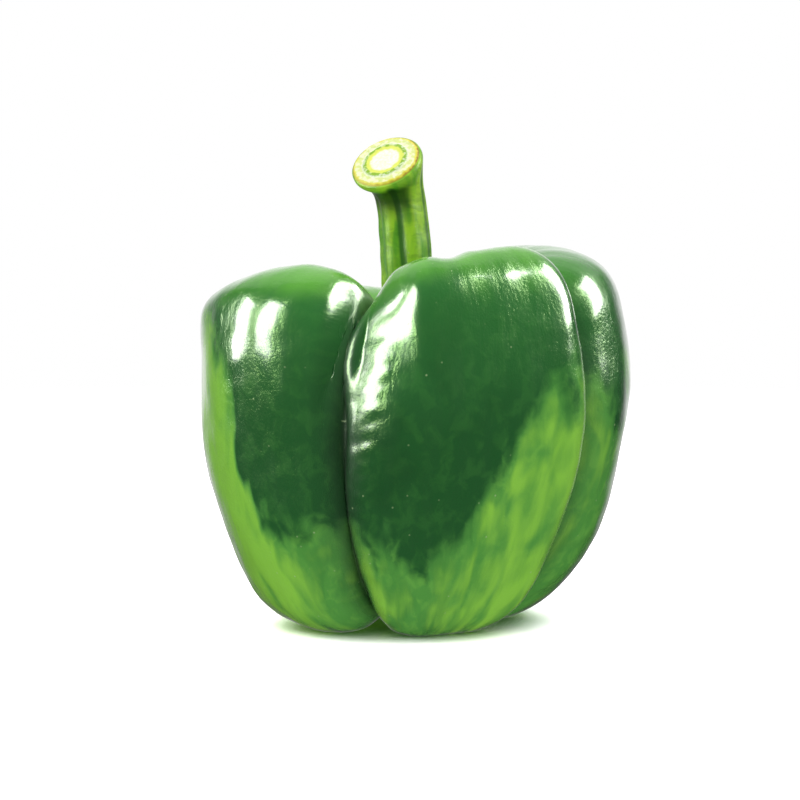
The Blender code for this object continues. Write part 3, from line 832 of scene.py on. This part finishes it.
# ---- Floor, lights and camera ----
def floor_material():
    """Matt white, with a painted contact shadow in crevices near the pepper.

    It is see-through from below and fades out away from the pepper.
    """
    material, tree, shader = new_material("floor_white")
    seen = node(tree, "ShaderNodeLightPath").outputs["Is Camera Ray"]
    white = blend_colour(tree, seen, solid(FLOOR_WHITE), solid(FLOOR_SEEN))
    open_share = node(tree, "ShaderNodeAmbientOcclusion", {"Distance": 0.018}, samples=8).outputs["AO"]
    # Painted contact shadow, darker where the floor is shut in near the pepper.
    white = blend_colour(tree, step(tree, open_share, 0.10, 0.50), solid(FLOOR_SHADE), white)
    white = blend_colour(tree, step(tree, open_share, 0.03, 0.24), solid(FLOOR_PAINTED_SHADOW), white)
    tree.links.new(white, shader.inputs["Base Color"])
    shader.inputs["Roughness"].default_value = 0.7
    shader.inputs["Specular IOR Level"].default_value = 0.1
    clear = node(tree, "ShaderNodeBsdfTransparent")
    sides = node(tree, "ShaderNodeNewGeometry")
    place = node(tree, "ShaderNodeTexCoord").outputs["Object"]
    away = node(tree, "ShaderNodeVectorMath", {0: place}, operation="LENGTH").outputs["Value"]
    fade = maths(tree, "MAXIMUM", sides.outputs["Backfacing"], step(tree, away, *FLOOR_FADE))
    both = node(tree, "ShaderNodeMixShader", {0: fade, 1: shader.outputs[0], 2: clear.outputs[0]})
    tree.links.new(both.outputs[0], tree.nodes["Material Output"].inputs["Surface"])
    return material


def floor_piece():
    """A round floor at z = 0, which neither shows in the skin's gloss nor throws light on it."""
    angle = np.linspace(0.0, 2.0 * np.pi, FLOOR_SIDES, endpoint=False)
    rim = FLOOR_RADIUS * np.stack([np.cos(angle), np.sin(angle), np.zeros_like(angle)], -1)
    mesh = bpy.data.meshes.new("floor")
    mesh.from_pydata(rim.tolist(), [], [list(range(len(rim)))])
    mesh.materials.append(floor_material())
    floor = bpy.data.objects.new("floor", mesh)
    bpy.context.scene.collection.objects.link(floor)
    floor.visible_glossy = False
    floor.visible_diffuse = False


def soft_box(name, azimuth, elevation, size, radiance, in_gloss, lean=0.0):
    """An area light that faces the pepper, at an azimuth and elevation, leaning to one side.

    Its size is how wide and tall it looks, in degrees. It shows in gloss only, or lights matt only.
    """
    width, height = (2.0 * LIGHT_DISTANCE * math.tan(math.radians(0.5 * angle)) for angle in size)
    data = bpy.data.lights.new(name, "AREA")
    data.shape = "RECTANGLE"
    data.size, data.size_y = width, height
    data.energy = radiance * math.pi * width * height
    light = bpy.data.objects.new(name, data)
    bpy.context.scene.collection.objects.link(light)
    a, e = math.radians(azimuth), math.radians(elevation)
    away = Vector((math.sin(a) * math.cos(e), -math.cos(a) * math.cos(e), math.sin(e)))
    light.location = Vector(LIGHTS_AIM) + LIGHT_DISTANCE * away
    leaning = Quaternion((0.0, 0.0, 1.0), math.radians(lean))
    light.rotation_euler = (away.to_track_quat("Z", "Y") @ leaning).to_euler()
    light.visible_camera = False
    light.visible_glossy = in_gloss
    light.visible_diffuse = not in_gloss


def studio_world():
    """White for the eye, a dome brighter below for matt light, and for gloss white only far behind."""
    world = bpy.data.worlds.new("studio")
    bpy.context.scene.world = world
    world.use_nodes = True
    tree = world.node_tree
    shade = tree.nodes["Background"]
    path = node(tree, "ShaderNodeLightPath")
    way = node(tree, "ShaderNodeTexCoord")
    parts = node(tree, "ShaderNodeSeparateXYZ", {0: way.outputs["Generated"]})
    behind = step(tree, parts.outputs[1], 0.66, 0.97, 0.015, 1.0)
    behind = maths(tree, "MULTIPLY", behind, step(tree, parts.outputs[2], -0.40, -0.02, 0.10, 1.0))
    gloss = node(tree, "ShaderNodeCombineColor", {0: behind, 1: behind, 2: behind})
    dome = step(tree, parts.outputs[2], 0.05, -0.35, 0.74, 0.98)
    dome = node(tree, "ShaderNodeCombineColor", {0: dome, 1: dome, 2: dome})
    matt = blend_colour(tree, path.outputs["Is Glossy Ray"], dome.outputs[0], gloss.outputs[0])
    seen = blend_colour(tree, path.outputs["Is Camera Ray"], matt, (1.0, 1.0, 1.0, 1.0))
    tree.links.new(seen, shade.inputs["Color"])


def make_lights():
    """Tall strips at the left and a broad one at the right for the highlights, and soft matt light."""
    soft_box("front_left_gloss", -97.0, 14.0, (13.0, 30.0), 24.0, in_gloss=True, lean=-6.0)
    soft_box("front_left_gloss_2", -68.0, 20.0, (20.0, 42.0), 24.0, in_gloss=True, lean=-6.0)
    soft_box("right_gloss", 97.0, 33.0, (30.0, 38.0), 22.0, in_gloss=True)
    soft_box("top_gloss", 180.0, 55.0, (80.0, 40.0), 0.5, in_gloss=True)
    soft_box("left_matt", -60.0, 50.0, (50.0, 45.0), 1.0, in_gloss=False)
    soft_box("top_matt", 120.0, 78.0, (70.0, 70.0), 1.3, in_gloss=False)


def make_camera():
    """A long lens, level with the stalk, looking along +Y and slightly down."""
    low, high = cad_box
    aim = 0.5 * (low + high) + Vector(AIM_FROM_MIDDLE)
    e = math.radians(CAMERA_ELEVATION)
    away = Vector((0.0, -math.cos(e), math.sin(e)))
    data = bpy.data.cameras.new("camera")
    data.lens, data.sensor_width = LENS, SENSOR
    camera = bpy.data.objects.new("camera", data)
    bpy.context.scene.collection.objects.link(camera)
    camera.location = aim + CAMERA_DISTANCE * away
    camera.rotation_euler = away.to_track_quat("Z", "Y").to_euler()
    bpy.context.scene.camera = camera


make_camera()
make_lights()
studio_world()
floor_piece()
bpy.context.scene.view_settings.view_transform = "Standard"

blotches, specks = blotch_group(), speck_group()
skin, stem = fruit_piece(), stem_piece()
for piece, material, cad_node, slot in (
    (skin, skin_material(blotches, specks), "fruit", "green_skin"),
    (stem, stem_material(blotches, specks), "stem", "green_stem"),
):
    piece.data.materials.append(material)
    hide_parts(cad_node)
    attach(piece, "root")
